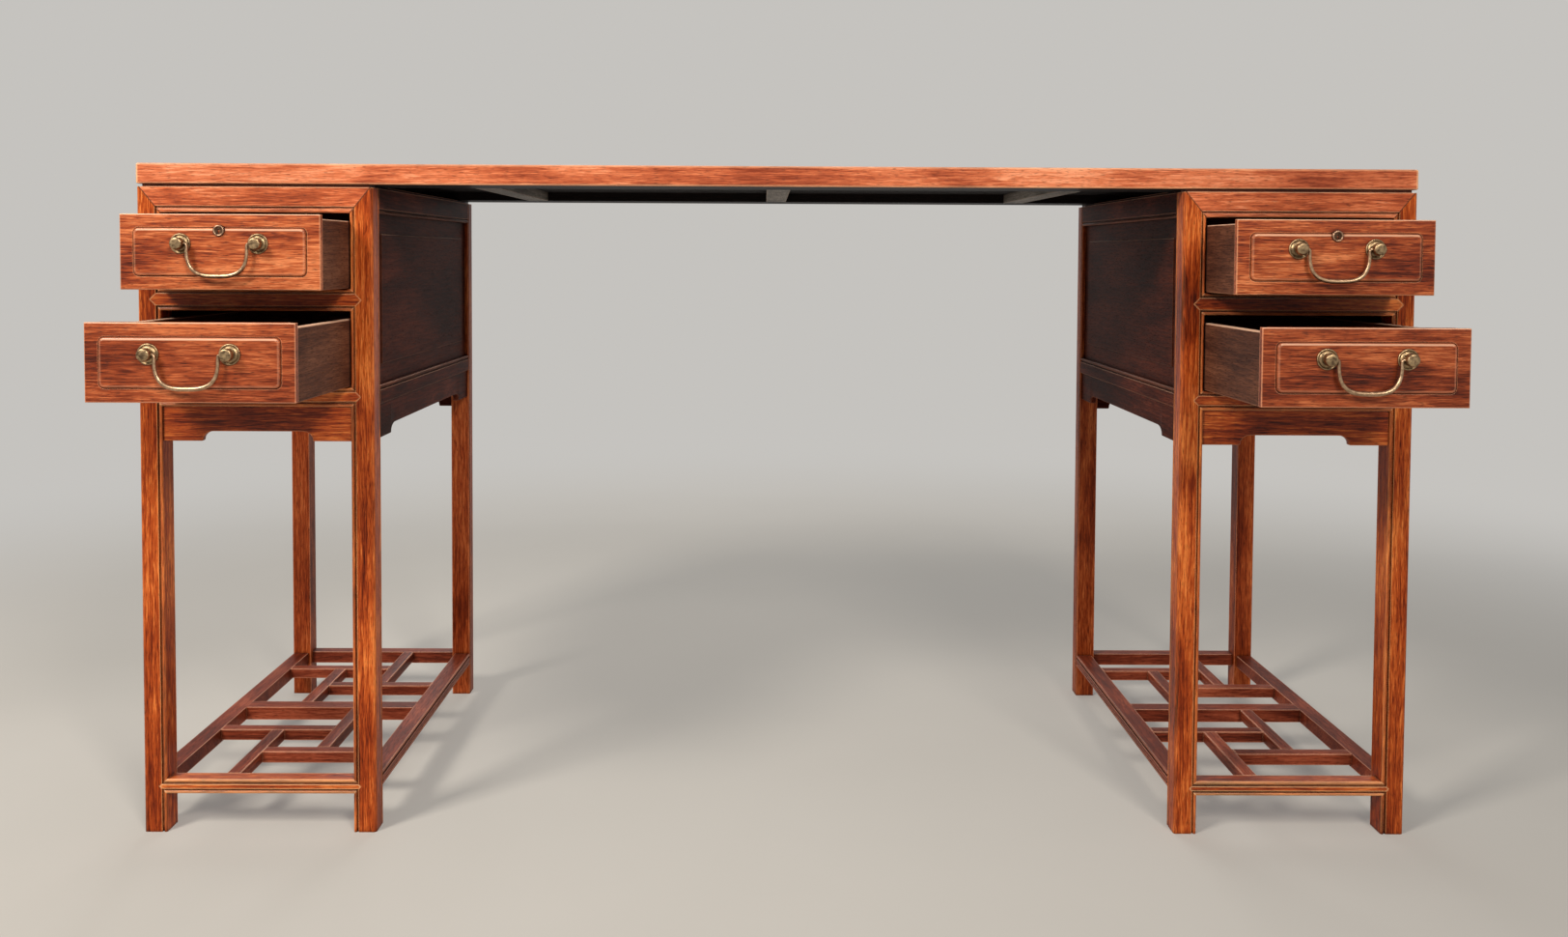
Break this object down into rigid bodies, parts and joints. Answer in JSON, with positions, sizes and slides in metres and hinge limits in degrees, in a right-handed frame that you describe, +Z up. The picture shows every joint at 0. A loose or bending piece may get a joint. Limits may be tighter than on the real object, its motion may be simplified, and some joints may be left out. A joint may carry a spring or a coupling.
{
  "type": "pedestal writing desk",
  "caption": "Writing desk: framed panel top on two drawer pedestals with moulded posts and rails, cusped aprons, bail pulls and open lattice shelves near the floor.",
  "frame": {"origin": "on the floor, in the middle of the desk as it stands with its drawers partly open", "axes": "+X to the right along the top, seen from the front; +Y from front to back; +Z up"},
  "size_m": [1.56, 0.7263, 0.824],
  "materials": {
    "frame_wood": "polished reddish-brown hardwood, satin gloss",
    "panel_wood": "polished darker reddish-brown hardwood panels",
    "drawer_lining": "plain dull brown wood",
    "hidden_wood": "unpolished brown wood",
    "brass": "aged yellow-brown brass"
  },
  "bodies": {
    "desk": {"top_long_rails": "frame_wood", "top_end_rails": "frame_wood", "top_panel": "panel_wood", "top_battens": "hidden_wood", "left_front_legs": "frame_wood", "left_back_legs": "frame_wood", "left_top_rail": "frame_wood", "left_mid_rail": "frame_wood", "left_lower_rail": "frame_wood", "left_front_apron": "frame_wood", "left_side_rails": "frame_wood", "left_side_panels": "panel_wood", "left_side_aprons": "frame_wood", "left_back_rails": "frame_wood", "left_back_panel": "panel_wood", "left_back_apron": "frame_wood", "left_drawer_runners": "hidden_wood", "left_shelf_front_rail": "frame_wood", "left_shelf_frame": "frame_wood", "left_shelf_lattice": "frame_wood", "right_front_legs": "frame_wood", "right_back_legs": "frame_wood", "right_top_rail": "frame_wood", "right_mid_rail": "frame_wood", "right_lower_rail": "frame_wood", "right_front_apron": "frame_wood", "right_side_rails": "frame_wood", "right_side_panels": "panel_wood", "right_side_aprons": "frame_wood", "right_back_rails": "frame_wood", "right_back_panel": "panel_wood", "right_back_apron": "frame_wood", "right_drawer_runners": "hidden_wood", "right_shelf_front_rail": "frame_wood", "right_shelf_frame": "frame_wood", "right_shelf_lattice": "frame_wood"},
    "upper_left_drawer": {"upper_left_drawer_front": "frame_wood", "upper_left_drawer_box": "drawer_lining", "upper_left_drawer_bottom": "drawer_lining", "upper_left_drawer_pull_posts": "brass", "upper_left_drawer_lock": "brass"},
    "upper_left_drawer_bail": {"upper_left_drawer_bail": "brass"},
    "upper_left_drawer_bolt": {"upper_left_drawer_lock_bolt": "brass"},
    "lower_left_drawer": {"lower_left_drawer_front": "frame_wood", "lower_left_drawer_box": "drawer_lining", "lower_left_drawer_bottom": "drawer_lining", "lower_left_drawer_pull_posts": "brass"},
    "lower_left_drawer_bail": {"lower_left_drawer_bail": "brass"},
    "upper_right_drawer": {"upper_right_drawer_front": "frame_wood", "upper_right_drawer_box": "drawer_lining", "upper_right_drawer_bottom": "drawer_lining", "upper_right_drawer_pull_posts": "brass", "upper_right_drawer_lock": "brass"},
    "upper_right_drawer_bail": {"upper_right_drawer_bail": "brass"},
    "upper_right_drawer_bolt": {"upper_right_drawer_lock_bolt": "brass"},
    "lower_right_drawer": {"lower_right_drawer_front": "frame_wood", "lower_right_drawer_box": "drawer_lining", "lower_right_drawer_bottom": "drawer_lining", "lower_right_drawer_pull_posts": "brass"},
    "lower_right_drawer_bail": {"lower_right_drawer_bail": "brass"}
  },
  "joints": [
    {"name": "upper_left_drawer_slide", "type": "slide", "parent": "desk", "child": "upper_left_drawer", "axis": [0, -1, 0], "range_m": [-0.1, 0.28]},
    {"name": "upper_left_drawer_bail_swing", "type": "hinge", "parent": "upper_left_drawer", "child": "upper_left_drawer_bail", "pos_m": [-0.637, -0.27615, 0.72575], "axis": [-1, 0, 0], "range_deg": [0, 100]},
    {"name": "upper_left_drawer_bolt_slide", "type": "slide", "parent": "upper_left_drawer", "child": "upper_left_drawer_bolt", "axis": [0, 0, 1], "range_m": [0, 0.01]},
    {"name": "lower_left_drawer_slide", "type": "slide", "parent": "desk", "child": "lower_left_drawer", "axis": [0, -1, 0], "range_m": [-0.18, 0.2]},
    {"name": "lower_left_drawer_bail_swing", "type": "hinge", "parent": "lower_left_drawer", "child": "lower_left_drawer_bail", "pos_m": [-0.637, -0.35615, 0.606], "axis": [-1, 0, 0], "range_deg": [0, 100]},
    {"name": "upper_right_drawer_slide", "type": "slide", "parent": "desk", "child": "upper_right_drawer", "axis": [0, -1, 0], "range_m": [-0.1, 0.28]},
    {"name": "upper_right_drawer_bail_swing", "type": "hinge", "parent": "upper_right_drawer", "child": "upper_right_drawer_bail", "pos_m": [0.637, -0.27615, 0.72575], "axis": [-1, 0, 0], "range_deg": [0, 100]},
    {"name": "upper_right_drawer_bolt_slide", "type": "slide", "parent": "upper_right_drawer", "child": "upper_right_drawer_bolt", "axis": [0, 0, 1], "range_m": [0, 0.01]},
    {"name": "lower_right_drawer_slide", "type": "slide", "parent": "desk", "child": "lower_right_drawer", "axis": [0, -1, 0], "range_m": [-0.18, 0.2]},
    {"name": "lower_right_drawer_bail_swing", "type": "hinge", "parent": "lower_right_drawer", "child": "lower_right_drawer_bail", "pos_m": [0.637, -0.35615, 0.606], "axis": [-1, 0, 0], "range_deg": [0, 100]}
  ]
}
